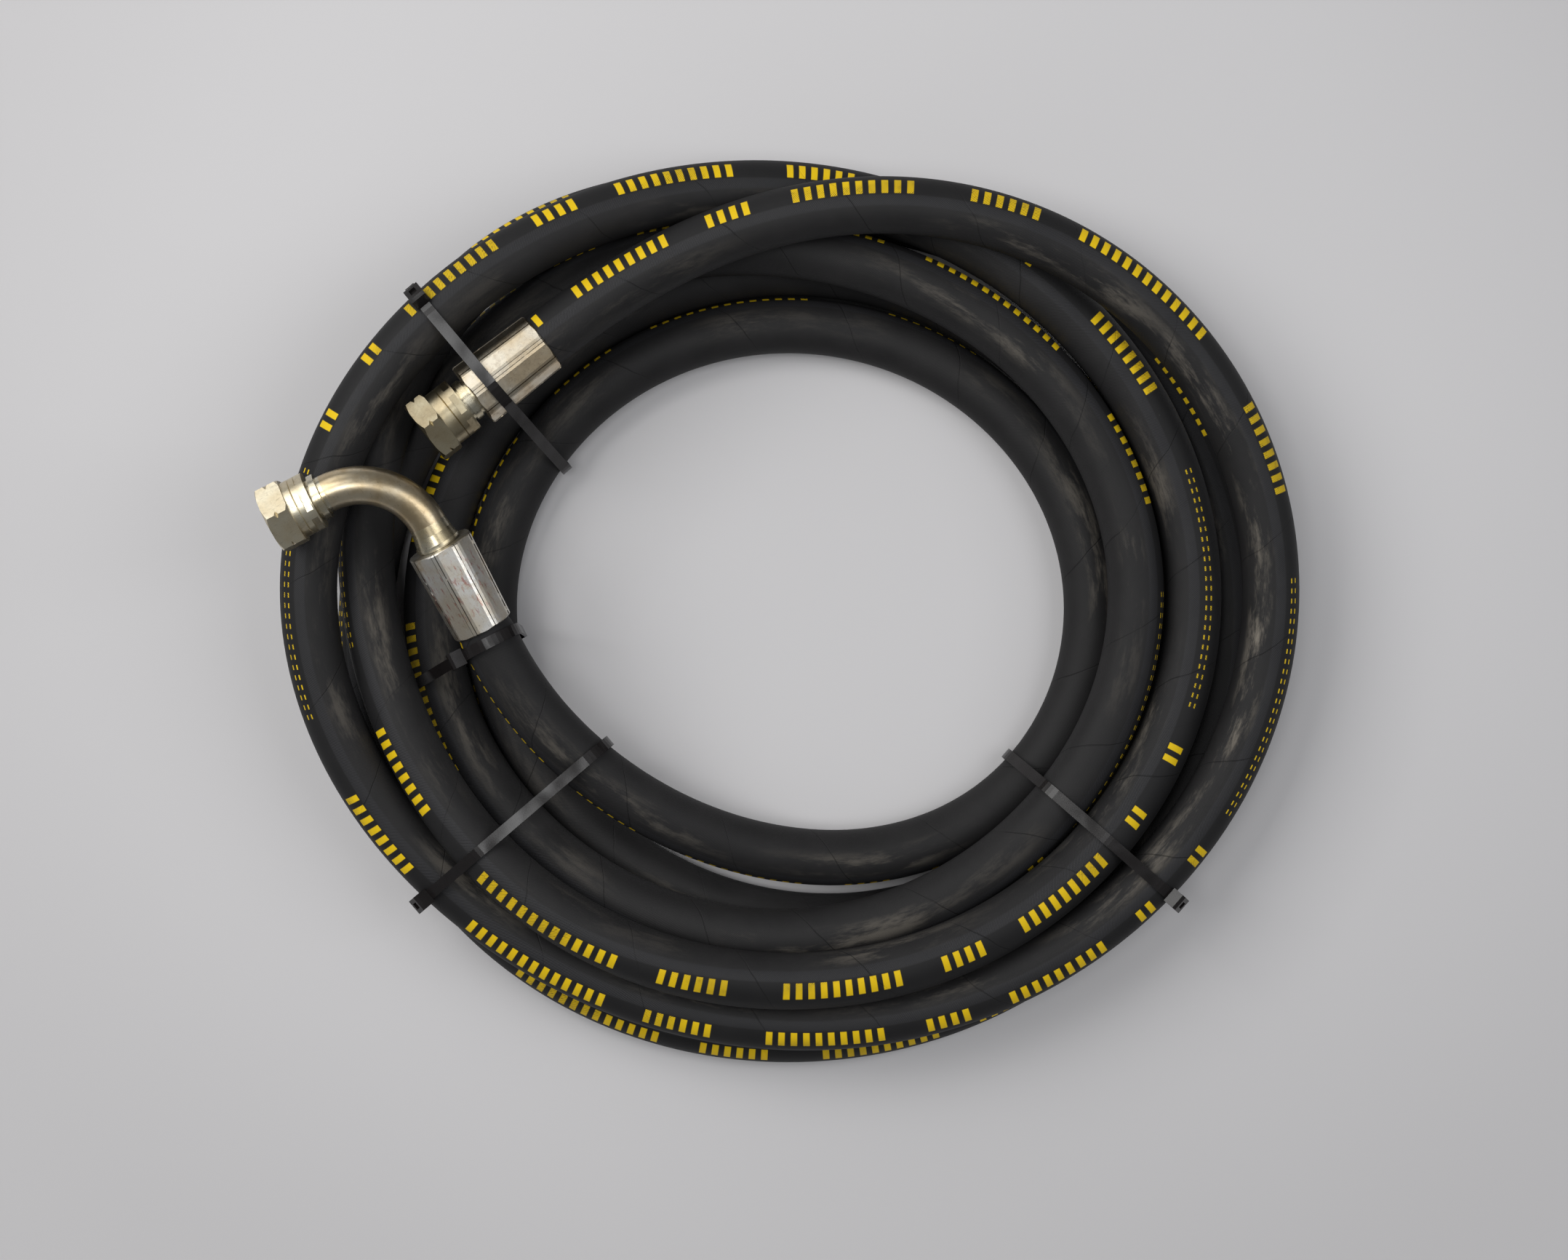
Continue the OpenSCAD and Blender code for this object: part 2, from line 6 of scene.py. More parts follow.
import bmesh
import bpy
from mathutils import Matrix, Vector


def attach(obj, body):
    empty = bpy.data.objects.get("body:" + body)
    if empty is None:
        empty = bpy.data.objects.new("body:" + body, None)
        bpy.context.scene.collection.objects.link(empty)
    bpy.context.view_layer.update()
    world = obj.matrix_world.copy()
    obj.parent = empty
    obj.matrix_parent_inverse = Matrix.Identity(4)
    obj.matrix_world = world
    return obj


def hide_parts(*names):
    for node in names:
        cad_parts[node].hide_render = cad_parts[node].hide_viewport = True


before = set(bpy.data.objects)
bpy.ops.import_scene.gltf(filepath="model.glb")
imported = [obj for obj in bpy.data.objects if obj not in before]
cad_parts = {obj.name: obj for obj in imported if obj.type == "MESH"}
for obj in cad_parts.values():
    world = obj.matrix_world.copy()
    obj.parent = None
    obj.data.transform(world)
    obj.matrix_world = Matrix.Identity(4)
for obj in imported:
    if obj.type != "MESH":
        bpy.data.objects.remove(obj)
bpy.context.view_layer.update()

MM = 0.001
UP = Vector((0.0, 0.0, 1.0))

# ---------------------------------------------------------------- camera

IMAGE_SIZE = (2156, 1732)
CAMERA_PLACE = (0.28 * MM, -6.62 * MM, 1397.5 * MM)
LENS = 72.45
SENSOR = 36.0


def make_camera():
    data = bpy.data.cameras.new("camera")
    data.lens = LENS
    data.sensor_width = SENSOR
    data.sensor_fit = "HORIZONTAL"
    data.clip_start = 0.01
    data.clip_end = 50.0
    camera = bpy.data.objects.new("camera", data)
    camera.location = CAMERA_PLACE
    bpy.context.scene.collection.objects.link(camera)
    bpy.context.scene.camera = camera


# ---------------------------------------------------------------- the hose's route

COIL_CENTRE = (4.0, 9.5)
START_ANGLE = 135.0
GUIDE_STEP = 45.0
COIL_END = 2103.0
# degrees of winding over which the direction of an end is taken
END_STEP = 0.5
ELBOW_LEAD = 14.0
# from the elbow ferrule's mouth to where the elbow's two axes meet
ELBOW_CORNER_RUN = 80.2
HOSE_SEAT = 32.0
HOSE_RADIUS = 12.1
HOSE_ROUND = 2 * math.pi * HOSE_RADIUS
CRIMPED_RADIUS = 11.6
NECK_LENGTH = 4.0

# [radius, height] of each guide point, eight to a turn, as in the CAD source
GUIDES = [
    (183, 78),
    (140.5, 52), (156.5, 62), (193, 60.5), (213, 28.5), (194, 38.5), (182.5, 35.5),
    (188, 31.5), (215.5, 59),
    (184.5, 72), (172, 29.5), (167.5, 40), (176.5, 22), (169.5, 44.5), (163.5, 55.5),
    (170, 58.5), (180, 39.5),
    (202.5, 41), (162.5, 6), (181.5, 13.5), (194, 9.5), (195.5, 10.5), (192.5, 9.5),
    (198, 11.5), (188, 8),
    (169.5, 25.5), (143.5, 39), (143, 35), (150.5, 34), (144.5, 33.5), (148, 36.5),
    (153.5, 32.5), (162, 12),
    (146, 9.5), (141.5, 10.5), (145, 10), (159.5, 10), (157, 10), (142, 10),
    (134, 10.5), (135.5, 9),
    (122, 17), (115.5, 11.5), (120.5, 8.5), (133, 15.5), (133, 5.5), (110.5, 26.5),
    (108.5, 46.5), (133.5, 67), (167, 115),
]


def guide_at(angle):
    """Radius and height of the route at an angle wound from the straight fitting."""
    step = math.floor(angle / GUIDE_STEP)
    t = angle / GUIDE_STEP - step
    weights = ((1 - t) ** 3 / 6, (3 * t ** 3 - 6 * t * t + 4) / 6,
               (-3 * t ** 3 + 3 * t * t + 3 * t + 1) / 6, t ** 3 / 6)
    radius = sum(w * GUIDES[step + i][0] for i, w in enumerate(weights))
    height = sum(w * GUIDES[step + i][1] for i, w in enumerate(weights))
    return radius, height


def route(angle):
    """Point of the hose's centre line in millimetres."""
    radius, height = guide_at(angle)
    turn = math.radians(START_ANGLE - angle)
    return Vector((radius * math.cos(turn) + COIL_CENTRE[0],
                   radius * math.sin(turn) + COIL_CENTRE[1], height))


STRAIGHT_AXIS = -(route(END_STEP) - route(0)).normalized()
STRAIGHT_MOUTH = route(0)
ELBOW_AXIS = (route(COIL_END) - route(COIL_END - END_STEP)).normalized()
ELBOW_MOUTH = route(COIL_END) + ELBOW_LEAD * ELBOW_AXIS
ELBOW_CORNER = ELBOW_MOUTH + ELBOW_CORNER_RUN * ELBOW_AXIS
OUTLET_AXIS = Vector((-ELBOW_AXIS.y, ELBOW_AXIS.x, 0.0)).normalized()

# ---------------------------------------------------------------- hose

RING_STEP = 1.25
RING_SIDES = 32
# winding angle of the first ring outside the straight ferrule
FIRST_RING = 0.6
# where the other rings stand from a ferrule's mouth, positive inside it
STRAIGHT_SEATED = (HOSE_SEAT, 20.0, 8.0, 2.0, 0.6)
ELBOW_APPROACH = (-9.0, -6.0, -4.0, -2.0)
ELBOW_SEATED = (-0.6, 2.0, 8.0, 20.0, HOSE_SEAT)
# winding angle at which the first band of printed dashes starts
BAND_START_ANGLE = 132.5

# angle of the printed line from the top of the hose towards the outside, every 45 degrees
PRINT_LEAN = [
    40, 33, 40, 44, 42, 33, 38, 42,
    38, 35, 30, 26, 20, 16, 40, 57,
    60, 50, 31, 41, 50, 45, 45, 60,
    80, 75, 65, 65, 75, 85, 52, 50,
    56, 82, 88, 90, 90, 90, 88, 80,
    80, 82, 88, 88, 88, 88, 88, 88,
]


def hose_rings():
    """Centre, hose radius and winding angle of every ring of the hose, end to end."""
    rings = [(STRAIGHT_MOUTH + s * STRAIGHT_AXIS, CRIMPED_RADIUS, 0.0) for s in STRAIGHT_SEATED]
    for i in range(int(COIL_END / RING_STEP) + 1):
        angle = min(COIL_END, FIRST_RING + i * RING_STEP)
        rings.append((route(angle), None, angle))
    for s in ELBOW_APPROACH:
        rings.append((ELBOW_MOUTH + s * ELBOW_AXIS, None, COIL_END))
    for s in ELBOW_SEATED:
        rings.append((ELBOW_MOUTH + s * ELBOW_AXIS, CRIMPED_RADIUS, COIL_END))
    return rings


def eased(t):
    return t * t * (3 - 2 * t)


def neck_radius(distance):
    """Hose radius at a distance outside a ferrule's mouth, easing into the crimp."""
    t = min(1.0, max(0.0, distance / NECK_LENGTH))
    return CRIMPED_RADIUS + (HOSE_RADIUS - CRIMPED_RADIUS) * eased(t)


def print_lean(angle):
    """Angle of the printed line in radians, easing from one value of PRINT_LEAN to the next."""
    at = min(angle / GUIDE_STEP, len(PRINT_LEAN) - 1.001)
    i = int(at)
    f = eased(at - i)
    return math.radians(PRINT_LEAN[i] * (1 - f) + PRINT_LEAN[i + 1] * f)


def ring_places(centre, radius, tangent):
    """Points round one ring, starting under the hose, none below the table."""
    outward = UP.cross(tangent).normalized()
    rise = tangent.cross(outward).normalized()
    places = []
    for k in range(RING_SIDES):
        a = 2 * math.pi * k / RING_SIDES + math.pi
        place = centre + radius * (math.cos(a) * rise + math.sin(a) * outward)
        place.z = max(place.z, 0.0)
        places.append(place * MM)
    return places


def make_hose():
    """One round tube along the route, with the path of its centre line and its length. Its UV
    map holds millimetres along and round the hose, measured round from the printed line."""
    rings = hose_rings()
    lengths = [0.0]
    for before, after in zip(rings, rings[1:]):
        lengths.append(lengths[-1] + (after[0] - before[0]).length)
    mouth_near = lengths[len(STRAIGHT_SEATED) - 1]
    mouth_far = lengths[-len(ELBOW_SEATED)]
    band_start = next(l for l, r in zip(lengths, rings) if r[2] >= BAND_START_ANGLE)
    mesh = bmesh.new()
    uv = mesh.loops.layers.uv.new("hose_mm")
    rows = []
    for i, (centre, radius, _) in enumerate(rings):
        before = rings[max(0, i - 1)][0]
        after = rings[min(len(rings) - 1, i + 1)][0]
        if radius is None:
            radius = neck_radius(min(lengths[i] - mouth_near, mouth_far - lengths[i]))
        places = ring_places(centre, radius, (after - before).normalized())
        rows.append([mesh.verts.new(place) for place in places])
    leans = [print_lean(angle) for _, _, angle in rings]
    for i in range(len(rows) - 1):
        for k in range(RING_SIDES):
            n = (k + 1) % RING_SIDES
            face = mesh.faces.new((rows[i][k], rows[i][n], rows[i + 1][n], rows[i + 1][k]))
            face.smooth = True
            corners = ((i, k), (i, k + 1), (i + 1, k + 1), (i + 1, k))
            for loop, (ring, side) in zip(face.loops, corners):
                a = 2 * math.pi * side / RING_SIDES - math.pi - leans[ring]
                loop[uv].uv = (lengths[ring] - band_start, a * HOSE_RADIUS)
    mesh.faces.new(list(reversed(rows[0])))
    mesh.faces.new(rows[-1])
    bmesh.ops.recalc_face_normals(mesh, faces=mesh.faces[:])
    data = bpy.data.meshes.new("hose")
    mesh.to_mesh(data)
    mesh.free()
    made = bpy.data.objects.new("hose", data)
    bpy.context.scene.collection.objects.link(made)
    return made, [tuple(ring[0] * MM) for ring in rings], lengths[-1] * MM


make_camera()
hose, hose_path, hose_length = make_hose()
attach(hose, "hose")
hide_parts("hose_cover")


# ---------------------------------------------------------------- shader building

class Graph:
    """A material's node tree, with short calls for the nodes used here. Where a call takes a
    value, it may be a socket or a number."""

    SOCKETS = {"colour": "Base Color", "metal": "Metallic", "rough": "Roughness",
               "specular": "Specular IOR Level", "normal": "Normal"}

    def __init__(self, name):
        self.material = bpy.data.materials.new(name)
        self.material.use_nodes = True
        self.tree = self.material.node_tree
        self.shader = self.tree.nodes["Principled BSDF"]

    def node(self, kind, **settings):
        made = self.tree.nodes.new(kind)
        for key, value in settings.items():
            setattr(made, key, value)
        return made

    def put(self, socket, value):
        """Links a socket to a socket, or sets its own number."""
        if isinstance(value, bpy.types.NodeSocket):
            self.tree.links.new(value, socket)
        else:
            socket.default_value = value

    def math(self, operation, *values, clamp=False):
        made = self.node("ShaderNodeMath", operation=operation, use_clamp=clamp)
        for socket, value in zip(made.inputs, values):
            self.put(socket, value)
        return made.outputs[0]

    def plus(self, first, second):
        return self.math("ADD", first, second)

    def minus(self, first, second):
        return self.math("SUBTRACT", first, second)

    def times(self, first, second):
        return self.math("MULTIPLY", first, second)

    def inverse(self, value):
        return self.math("SUBTRACT", 1.0, value)

    def ramp(self, value, low, high):
        """0 at low and 1 at high, smooth between, also where low is the larger number."""
        made = self.node("ShaderNodeMapRange", interpolation_type="SMOOTHSTEP")
        for name, part in (("Value", value), ("From Min", low), ("From Max", high)):
            self.put(made.inputs[name], part)
        return made.outputs["Result"]

    def span(self, value, low, high, soft):
        """1 between low and high, fading over soft on each side."""
        return self.times(self.ramp(value, low - soft, low + soft),
                          self.inverse(self.ramp(value, high - soft, high + soft)))

    def noise(self, vector, scale, detail, roughness, seed):
        made = self.node("ShaderNodeTexNoise", noise_dimensions="4D")
        self.put(made.inputs["Vector"], vector)
        made.inputs["W"].default_value = seed
        made.inputs["Scale"].default_value = scale
        made.inputs["Detail"].default_value = detail
        made.inputs["Roughness"].default_value = roughness
        return made.outputs["Fac"]

    def place(self, x, y, z=0.0):
        made = self.node("ShaderNodeCombineXYZ")
        for socket, value in zip(made.inputs, (x, y, z)):
            self.put(socket, value)
        return made.outputs[0]

    def split(self, vector):
        made = self.node("ShaderNodeSeparateXYZ")
        self.put(made.inputs[0], vector)
        return made.outputs

    def distance(self, vector, centre):
        made = self.node("ShaderNodeVectorMath", operation="DISTANCE")
        self.put(made.inputs[0], vector)
        made.inputs[1].default_value = centre
        return made.outputs["Value"]

    def object_place(self):
        return self.node("ShaderNodeTexCoord").outputs["Object"]

    def mix(self, amount, first, second):
        """Mixes two colours, each a socket or three numbers."""
        made = self.node("ShaderNodeMix", data_type="RGBA")
        self.put(made.inputs["Factor"], amount)
        for socket, value in ((made.inputs["A"], first), (made.inputs["B"], second)):
            self.put(socket, value if isinstance(value, bpy.types.NodeSocket)
                     else (*value, 1.0))
        return made.outputs["Result"]

    def bump(self, height, strength, distance):
        made = self.node("ShaderNodeBump")
        made.inputs["Strength"].default_value = strength
        made.inputs["Distance"].default_value = distance
        self.put(made.inputs["Height"], height)
        return made.outputs["Normal"]

    def set(self, **values):
        """Sets or links the shader's own inputs, by the short names in SOCKETS."""
        for key, value in values.items():
            self.put(self.shader.inputs[self.SOCKETS[key]], value)


# ---------------------------------------------------------------- hose rubber

# sizes in mm along and round the hose, the second measured from the printed line
PRINT_PERIOD = 569.4
BAND_LENGTH = 103.6
DASH_PITCH = 4.2
DASH_START = 0.5
DASH_LENGTH = 1.95
DASH_OFFSET = 1.25
DASH_HALF_WIDTH = 0.36
BAR_PITCH = 5.2
BAR_START = 1.0
BAR_WIDTH = 2.7
BAR_HALF_HEIGHT = 3.7
# stretches of the print filled with plain bars: start and end from the band's start
BAR_GROUPS = ((119, 133), (146, 162), (172, 226), (238, 262), (272, 330), (346, 380),
              (394, 466), (492, 539))
DASH_BLUR = (0.15, 0.12)
BAR_BLUR = 0.18
GROUP_BLUR = 0.05

WRAP_PITCH = 50.0
THREAD_PITCH = 0.66
THREAD_SLANT = (0.75, 0.66)
# the smoother strip under the print, the shinier one beside it (where the painted sheen on the
# threads is strongest) and the flank that gathers dust
SMOOTH_STRIP = (-4.2, 10.0)
SATIN_STRIP = (-8.9, -4.4)
DUSTY_FLANK = (-20.0, -10.5)
# the stretch of the hose with the most dust
DUSTIEST = (-130.0, 190.0)

RUBBER_DARK, RUBBER_PALE = (0.0075, 0.0072, 0.0075), (0.0235, 0.0225, 0.0225)
STRIP_COLOUR = (0.006, 0.006, 0.0064)
# painted sheen: the lighter colour of the cloth's threads
THREAD_SHEEN_COLOUR = (0.038, 0.039, 0.045)
SPECK_COLOUR = (0.06, 0.058, 0.054)
DUST_COLOUR = (0.225, 0.2, 0.165)
# painted shade in the crease along the wrap's spiral edge
CREASE_SHADE_COLOUR = (0.004, 0.004, 0.004)
INK_COLOUR = (0.79, 0.53, 0.006)


def printed_marks(g, along, around):
    """1 on the print: a band of paired dashes, then groups of plain upright bars."""
    period = g.math("FLOORED_MODULO", along, PRINT_PERIOD)
    dash = g.span(g.math("FLOORED_MODULO", period, DASH_PITCH), DASH_START,
                  DASH_START + DASH_LENGTH, DASH_BLUR[0])
    from_row = g.math("ABSOLUTE", g.minus(g.math("ABSOLUTE", around), DASH_OFFSET))
    dash = g.times(dash, g.inverse(g.ramp(from_row, DASH_HALF_WIDTH - DASH_BLUR[1],
                                          DASH_HALF_WIDTH + DASH_BLUR[1])))
    dash = g.times(dash, g.span(period, 0.0, BAND_LENGTH, GROUP_BLUR))
    bar = g.span(g.math("FLOORED_MODULO", period, BAR_PITCH), BAR_START,
                 BAR_START + BAR_WIDTH, BAR_BLUR)
    bar = g.times(bar, g.span(around, -BAR_HALF_HEIGHT, BAR_HALF_HEIGHT, BAR_BLUR))
    groups = 0.0
    for start, end in BAR_GROUPS:
        groups = g.plus(groups, g.span(period, math.ceil(start / BAR_PITCH) * BAR_PITCH,
                                       math.floor(end / BAR_PITCH) * BAR_PITCH, GROUP_BLUR))
    return g.math("ADD", dash, g.times(bar, groups), clamp=True)


def worn_ink(g, marks, along, around, flat, twill):
    """The print with patches where the cloth's threads show through it."""
    worn = g.ramp(g.noise(flat, 0.55, 4.0, 0.7, 3.0), 0.36, 0.5)
    whole = g.ramp(g.noise(g.place(g.times(along, 0.35), around), 0.035, 2.0, 0.5, 9.0), 0.42, 0.5)
    rubbed = g.times(g.inverse(whole), g.inverse(g.times(worn, 0.45)))
    return g.times(marks, g.inverse(g.times(rubbed, g.ramp(twill, -0.5, 0.7))))


def wrap_marks(g, along, around, flat):
    """The spiral edge that the curing wrap left, and the slope of each of its laps."""
    turn = g.plus(g.math("DIVIDE", along, WRAP_PITCH), g.math("DIVIDE", around, HOSE_ROUND))
    wander = g.times(g.minus(g.noise(flat, 0.02, 3.0, 0.5, 5.0), 0.5), 0.3)
    phase = g.math("FRACT", g.plus(turn, wander))
    edge = g.inverse(g.ramp(g.math("ABSOLUTE", g.minus(phase, 0.5)), 0.002, 0.008))
    faint = g.ramp(g.noise(flat, 0.05, 2.0, 0.5, 11.0), 0.35, 0.6)
    return g.times(edge, g.plus(0.35, g.times(faint, 0.65))), g.ramp(phase, 0.0, 1.0)


def scuffed_dust(g, along, around):
    """Dust and scuffs on one flank, long and broken along the hose."""
    dusty = g.ramp(g.noise(g.place(g.times(along, 0.22), around), 0.11, 6.0, 0.7, 1.0), 0.46, 0.64)
    run = g.ramp(g.noise(g.place(along, 0.0), 0.009, 1.0, 0.5, 2.0), 0.42, 0.62)
    worst = g.plus(0.4, g.times(g.span(along, *DUSTIEST, 40.0), 0.6))
    here = g.math("MAXIMUM", run, g.minus(worst, 0.45))
    return g.times(g.times(dusty, here), g.times(g.span(around, *DUSTY_FLANK, 3.5), worst))


def rubber_material():
    g = Graph("hose_rubber")
    parts = g.split(g.node("ShaderNodeUVMap", uv_map="hose_mm").outputs[0])
    along, around = parts[0], parts[1]
    flat = g.place(along, around)

    # the slanted threads of the cloth the hose was cured in, fainter under the print
    slanted = g.minus(g.times(along, THREAD_SLANT[0]), g.times(around, THREAD_SLANT[1]))
    twill = g.math("SINE", g.times(slanted, 2 * math.pi / THREAD_PITCH))
    strip = g.span(around, *SMOOTH_STRIP, 0.25)
    satin = g.span(around, *SATIN_STRIP, 0.5)
    cloth = g.times(twill, g.plus(0.55, g.minus(g.times(satin, 0.45), g.times(strip, 0.45))))
    cloth = g.times(cloth, g.plus(0.35, g.ramp(g.noise(flat, 0.06, 3.0, 0.6, 12.0), 0.3, 0.7)))
    # painted sheen: the threads drawn lighter, most of all on the satin strip
    thread_sheen = g.times(g.plus(g.times(cloth, 0.5), 0.5), g.plus(0.14, g.times(satin, 0.86)))

    ink = worn_ink(g, printed_marks(g, along, around), along, around, flat, twill)
    edge, lap = wrap_marks(g, along, around, flat)
    scuff = scuffed_dust(g, along, around)
    speck = g.ramp(g.noise(flat, 0.9, 3.0, 0.6, 7.0), 0.66, 0.8)
    haze = g.noise(flat, 0.045, 4.0, 0.6, 4.0)
    uneven = g.noise(flat, 0.25, 3.0, 0.5, 6.0)

    colour = g.mix(haze, RUBBER_DARK, RUBBER_PALE)
    # the dark wrap edge in this list is painted shade in its crease
    for mask, share, over in ((strip, 0.45, STRIP_COLOUR), (thread_sheen, 0.5, THREAD_SHEEN_COLOUR),
                              (speck, 0.35, SPECK_COLOUR), (scuff, 0.9, DUST_COLOUR),
                              (edge, 0.6, CREASE_SHADE_COLOUR)):
        colour = g.mix(g.times(mask, share), colour, over)
    colour = g.mix(ink, colour, INK_COLOUR)
    rough = g.plus(g.times(haze, 0.16), 0.55)
    rough = g.minus(rough, g.times(satin, 0.07))
    rough = g.plus(rough, g.times(scuff, 0.2))
    height = g.times(cloth, 0.05)
    for mask, share in ((edge, -0.3), (lap, 0.16), (uneven, 0.12), (ink, 0.04)):
        height = g.plus(height, g.times(mask, share))
    g.set(colour=colour, rough=rough, specular=0.24, normal=g.bump(height, 0.55, 1.0 * MM))
    return g.material


# ---------------------------------------------------------------- plated steel and nylon

PALE, WARM = (0.66, 0.63, 0.52), (0.58, 0.49, 0.31)
MOTTLE_COLOUR = (0.27, 0.23, 0.15)
GRAIN_COLOUR = (0.3, 0.27, 0.2)
SCRATCH_COLOUR = (0.16, 0.13, 0.09)
FLECK_COLOUR = (0.07, 0.055, 0.045)
RIDGE_COLOUR = (0.035, 0.03, 0.025)
RED_PAINT = (0.42, 0.12, 0.09)
# the ferrules' crimped flats, and where their ridges stand, in parts of one flat
CRIMP_FLATS = 8
FLAT_ANGLE = 360 / CRIMP_FLATS
FLAT_WIDTH = 11.2
STRAIGHT_RIDGE = -18.5 / FLAT_ANGLE
ELBOW_RIDGE = -8.0 / FLAT_ANGLE


def turned_place(g, axis, origin):
    """Millimetres along an axis from its origin, across it and up from it."""
    side = axis.cross(UP).normalized()
    moved = g.node("ShaderNodeVectorMath", operation="SUBTRACT")
    g.put(moved.inputs[0], g.object_place())
    moved.inputs[1].default_value = origin * MM
    parts = []
    for direction in (axis, side, side.cross(axis)):
        along = g.node("ShaderNodeVectorMath", operation="DOT_PRODUCT")
        g.put(along.inputs[0], moved.outputs[0])
        along.inputs[1].default_value = direction
        parts.append(g.times(along.outputs["Value"], 1 / MM))
    return parts


def paint_smears(g, run, across, up, angle):
    """Slanted smears over the top of a ferrule."""
    slanted = g.place(g.times(g.plus(run, across), 0.45), g.times(across, 1.9), up)
    smears = g.ramp(g.noise(slanted, 0.42, 5.0, 0.72, 14.0), 0.53, 0.62)
    return g.times(smears, g.times(g.span(run, 8.0, 33.0, 3.0), g.span(angle, -1.25, 1.1, 0.25)))


def crimp_lines(g, place, angle, ridge_turn):
    """Broken lines beside the ridges that the crimping dies left."""
    flat = g.math("FRACT", g.plus(g.times(angle, CRIMP_FLATS / (2 * math.pi)), ridge_turn))
    offset = g.times(g.math("ABSOLUTE", g.minus(flat, 0.5)), FLAT_WIDTH)
    broken = g.ramp(g.noise(place, 0.35, 2.0, 0.5, 8.0), 0.28, 0.42)
    return g.times(g.span(offset, 0.68, 0.98, 0.07), broken)


def plated_material(name, axis, origin, pale, warm, stain, rough, stained, mottled,
                    ridge_turn=None, smear=None):
    """Zinc-plated steel turned about its own axis: a pale colour drifting into a warm one, fine
    turning marks, dull mottling, small stains and scratches. A ferrule has dark lines beside
    the ridges of the dies, and may have smears of paint."""
    g = Graph(name)
    run, across, up = turned_place(g, axis, origin)
    angle = g.math("ARCTAN2", across, up)
    place = g.place(run, across, up)
    drift = g.ramp(g.noise(place, 0.07, 3.0, 0.6, 1.0), 0.35, 0.65)
    rings = g.place(g.times(run, 7.0), g.times(across, 0.25), g.times(up, 0.25))
    turned = g.noise(rings, 0.8, 3.0, 0.6, 2.0)
    grain = g.noise(place, 1.6, 4.0, 0.65, 4.0)
    blotch = g.ramp(g.noise(place, 0.22, 5.0, 0.72, 3.0), 0.52, 0.68)
    fleck = g.ramp(g.noise(place, 0.9, 4.0, 0.6, 5.0), 0.66, 0.74)
    mottle = g.ramp(g.noise(place, 0.9, 6.0, 0.8, 6.0), 0.4, 0.68)
    strokes = g.place(g.times(run, 0.3), g.plus(g.times(across, 2.6), g.times(run, 0.5)),
                      g.times(up, 2.6))
    scratch = g.ramp(g.noise(strokes, 0.7, 3.0, 0.6, 7.0), 0.6, 0.68)

    colour = g.mix(drift, pale, warm)
    for mask, share, over in ((blotch, stained, stain), (mottle, mottled, MOTTLE_COLOUR),
                              (grain, 0.12, GRAIN_COLOUR), (scratch, 0.35, SCRATCH_COLOUR),
                              (fleck, 0.45, FLECK_COLOUR)):
        colour = g.mix(g.times(mask, share), colour, over)
    height = g.plus(g.times(turned, 0.45), g.times(grain, 0.2))
    height = g.minus(height, g.times(scratch, 0.5))
    if smear is not None:
        smears = paint_smears(g, run, across, up, angle)
        colour = g.mix(g.times(smears, 0.7), colour, smear)
    if ridge_turn is not None:
        line = crimp_lines(g, place, angle, ridge_turn)
        colour = g.mix(g.times(line, 0.92), colour, RIDGE_COLOUR)
        height = g.minus(height, line)
    dulled = g.plus(g.times(g.math("MAXIMUM", blotch, mottle), 0.1), rough)
    g.set(colour=colour, metal=1.0, rough=g.plus(g.times(grain, 0.05), dulled),
          normal=g.bump(height, 0.05, 0.03 * MM))
    return g.material


def nylon_material():
    g = Graph("tie_nylon")
    place = g.object_place()
    flow = g.noise(place, 120.0, 3.0, 0.5, 1.0)
    fine = g.noise(place, 1400.0, 2.0, 0.5, 2.0)
    wavy = g.noise(place, 55.0, 1.0, 0.5, 3.0)
    g.set(colour=g.mix(flow, (0.006, 0.005, 0.005), (0.014, 0.012, 0.0118)),
          rough=g.plus(g.times(flow, 0.1), 0.19), specular=0.36,
          normal=g.bump(g.plus(wavy, g.times(fine, 0.006)), 1.0, 1.3 * MM))
    return g.material


def core_material():
    g = Graph("wire_core")
    wires = g.node("ShaderNodeTexWave", wave_type="BANDS", bands_direction="DIAGONAL")
    g.put(wires.inputs["Vector"], g.object_place())
    wires.inputs["Scale"].default_value = 600.0
    g.set(colour=g.mix(wires.outputs["Fac"], (0.12, 0.12, 0.12), (0.42, 0.41, 0.38)),
          metal=0.8, rough=0.4, normal=g.bump(wires.outputs["Fac"], 0.3, 0.2 * MM))
    return g.material


def dress(name, material, bevel=0.0):
    """Gives a CAD node its material, and eases its edges so they catch the light."""
    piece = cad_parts[name]
    piece.data.materials.clear()
    piece.data.materials.append(material)
    if bevel:
        easing = piece.modifiers.new("eased_edges", "BEVEL")
        easing.width = bevel * MM
        easing.segments = 2
        easing.limit_method = "ANGLE"
        easing.angle_limit = math.radians(35)


